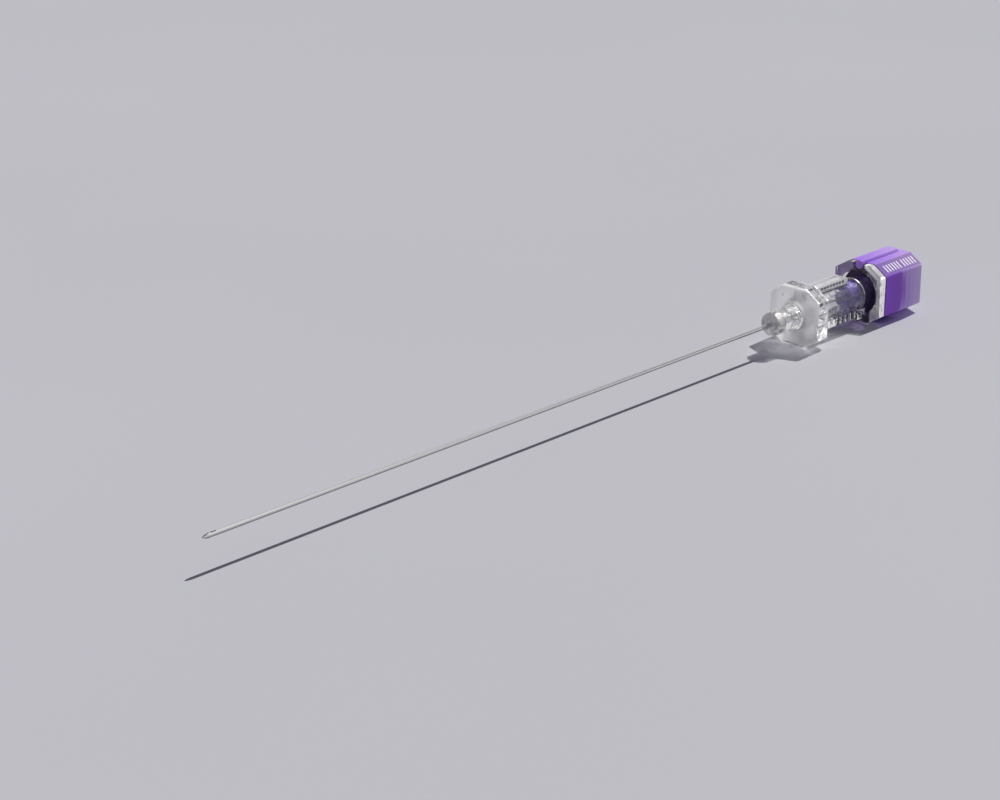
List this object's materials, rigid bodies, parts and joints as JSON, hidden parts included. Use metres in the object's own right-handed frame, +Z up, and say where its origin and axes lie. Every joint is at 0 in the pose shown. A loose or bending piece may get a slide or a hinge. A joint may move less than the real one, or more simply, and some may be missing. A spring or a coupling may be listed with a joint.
{
  "type": "spinal needle",
  "caption": "Fine steel spinal needle with a closed pencil point and a side eye, a clear octagonal hub, and a removable stylet with a purple octagonal handle.",
  "frame": {"origin": "on the needle's axis, where the steel tube leaves the front of the hub", "axes": "+X along the needle from the tip to the handle, +Z up as it lies on a table, with the handle's key on top, +Y to the left of someone looking along +X"},
  "size_m": [0.1163, 0.0076, 0.0081],
  "materials": {
    "tube_steel": "polished stainless steel tube",
    "wire_steel": "drawn stainless steel wire",
    "clear_plastic": "clear polished moulding",
    "clear_adhesive": "clear cured adhesive",
    "purple_plastic": "satin, slightly translucent moulding"
  },
  "bodies": {
    "needle": {"cannula": "tube_steel", "hub": "clear_plastic", "adhesive": "clear_adhesive"},
    "stylet": {"stylet_wire": "wire_steel", "stylet_handle": "purple_plastic"}
  },
  "joints": [
    {"name": "stylet_slide", "type": "slide", "parent": "needle", "child": "stylet", "axis": [1, 0, 0], "range_m": [0, 0.11]}
  ]
}
